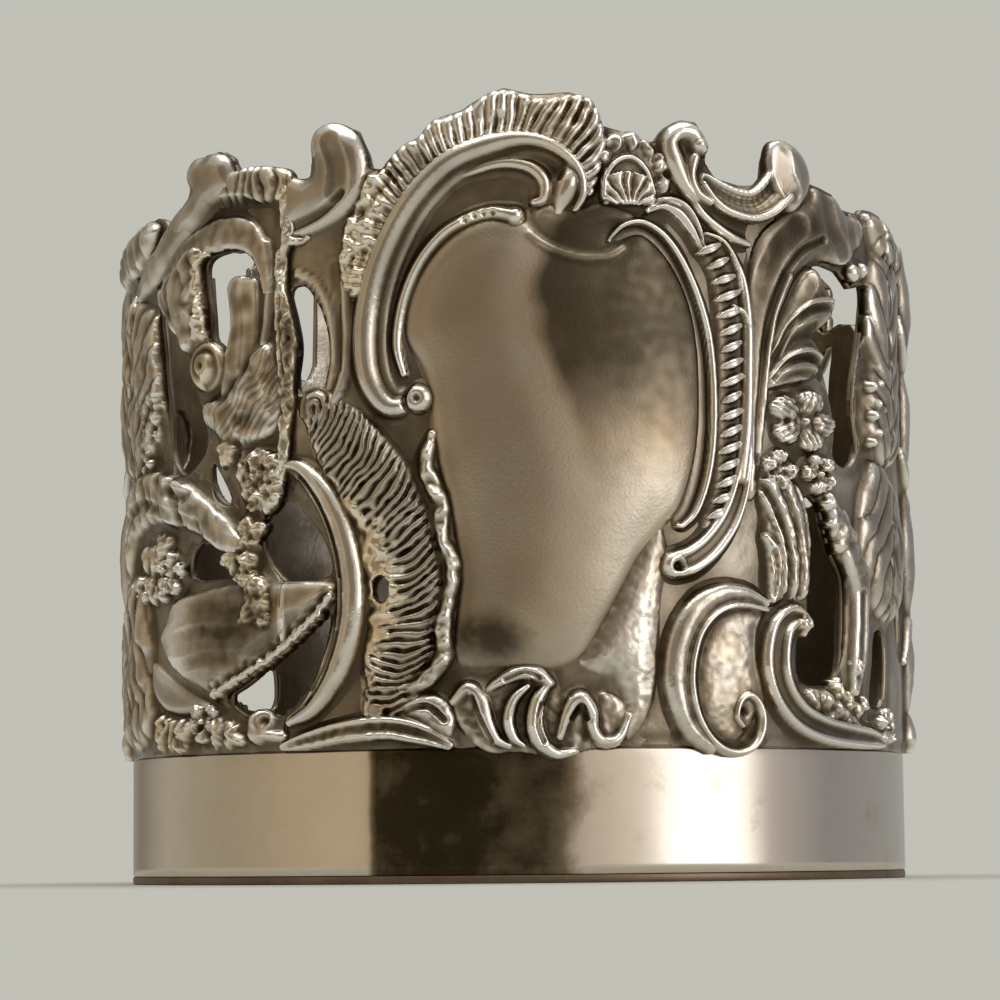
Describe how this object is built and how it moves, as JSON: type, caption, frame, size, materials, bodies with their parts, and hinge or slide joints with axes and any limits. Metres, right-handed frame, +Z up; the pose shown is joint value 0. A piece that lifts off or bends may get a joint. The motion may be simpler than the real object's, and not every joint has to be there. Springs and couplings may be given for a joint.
{
  "type": "pierced cup holder",
  "caption": "Round openwork metal holder for a small cup: plain foot band, pierced walls with a domed shield, scrolls, shells, leaves and blossoms in relief.",
  "frame": {"origin": "centre of the underside of the floor plate", "axes": "+Z up along the axis of the round wall; -Y is the side with the front shield, +X is right of it"},
  "size_m": [0.0624, 0.0628, 0.057],
  "materials": {
    "gallery": "tarnished silver plate, dark in the hollows",
    "ornament": "tarnished silver plate, rubbed bright on the ridges",
    "shield": "smooth satin silver plate, warm tarnish",
    "band": "polished silver plate, patchy tarnish, fine scratches",
    "floor": "plate worn to the copper-coloured metal",
    "solder": "rough yellowish solder"
  },
  "bodies": {
    "root": {"floor_plate": "floor", "base_band": "band", "left_seam": "solder", "right_seam": "solder", "front_gallery": "gallery", "front_shield": "shield", "front_shield_scroll": "ornament", "front_shield_lips": "ornament", "front_ladder_strip": "ornament", "front_outer_lip": "ornament", "front_tail_rib": "ornament", "front_crest": "ornament", "front_fan_shell": "ornament", "front_trough_scroll": "ornament", "front_hook_scroll": "ornament", "front_long_leaf": "ornament", "front_leaf_fan": "ornament", "front_blossoms": "ornament", "front_drooping_leaves": "ornament", "front_kidney_scroll": "ornament", "front_foot_scroll": "ornament", "front_wave_scrolls": "ornament", "front_shell_band": "ornament", "front_side_scroll": "ornament", "front_foot_leaf": "ornament", "front_window_arch": "ornament", "front_knob_stem": "ornament", "front_leaf_bundle": "ornament", "front_drop_leaf": "ornament", "front_flower_stems": "ornament", "back_gallery": "gallery", "back_shield": "shield", "back_shield_scroll": "ornament", "back_shield_lips": "ornament", "back_ladder_strip": "ornament", "back_outer_lip": "ornament", "back_tail_rib": "ornament", "back_crest": "ornament", "back_fan_shell": "ornament", "back_hook_scroll": "ornament", "back_leaf_fan": "ornament", "back_blossoms": "ornament", "back_drooping_leaves": "ornament", "back_kidney_scroll": "ornament", "back_foot_scroll": "ornament", "back_wave_scrolls": "ornament", "back_shell_band": "ornament", "back_side_scroll": "ornament", "back_foot_leaf": "ornament", "back_window_arch": "ornament", "back_knob_stem": "ornament", "back_leaf_bundle": "ornament", "back_drop_leaf": "ornament", "back_flower_stems": "ornament"}
  },
  "joints": []
}
